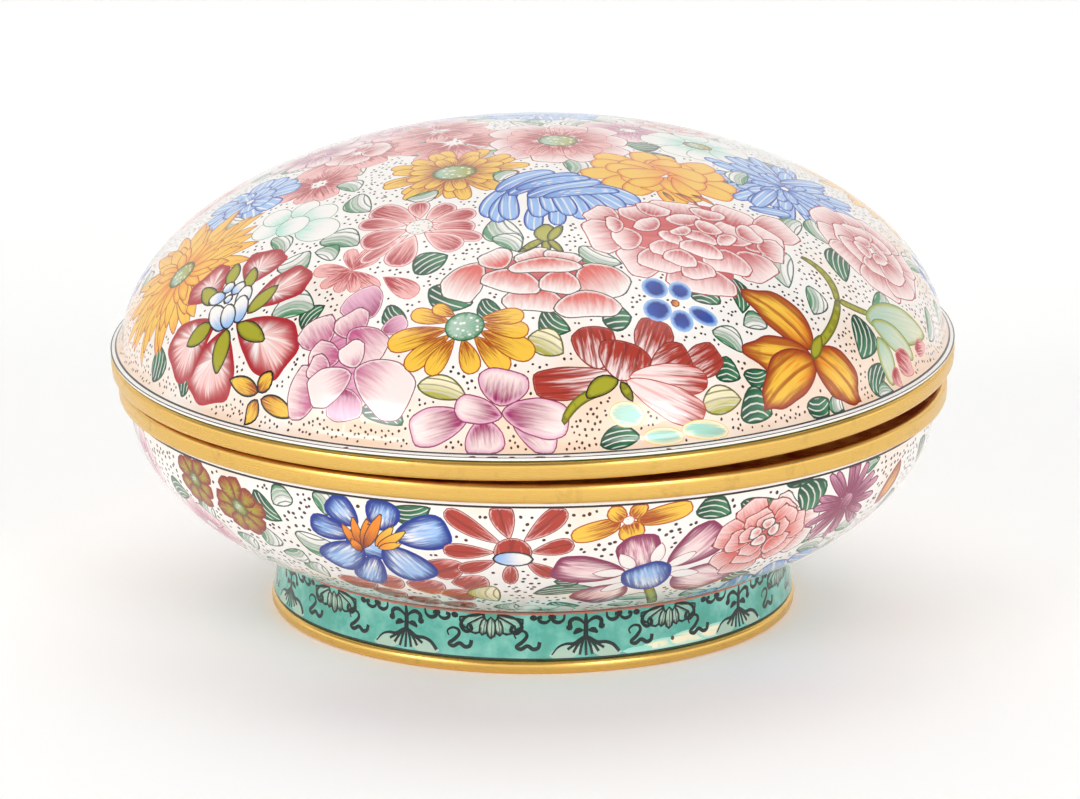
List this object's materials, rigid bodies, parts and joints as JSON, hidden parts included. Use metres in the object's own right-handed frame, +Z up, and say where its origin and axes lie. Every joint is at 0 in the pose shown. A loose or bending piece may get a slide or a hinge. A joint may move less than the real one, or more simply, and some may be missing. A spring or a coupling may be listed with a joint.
{
  "type": "lidded enamel box",
  "caption": "Round covered box of painted enamel on copper: a domed lift-off lid on a shallow bowl, gilt rims and a low turquoise foot; keeps small things.",
  "frame": {"origin": "middle of the circle that the foot stands on, at the middle of the box from above", "axes": "+Z up along the axis of the bowl, -Y towards the front of the picture, +X to the right"},
  "size_m": [0.1203, 0.1203, 0.0682],
  "materials": {
    "flower_enamel": "glossy fired enamel painted with many flowers on a dotted white ground",
    "turquoise_enamel": "glossy fired turquoise enamel with dark painted scrolls",
    "gilt_rim": "satin gilding"
  },
  "bodies": {
    "root": {"lid_dome": "flower_enamel", "lid_rim": "gilt_rim", "bowl": "flower_enamel", "bowl_rim": "gilt_rim", "foot": "turquoise_enamel", "foot_rim": "gilt_rim"}
  },
  "joints": []
}
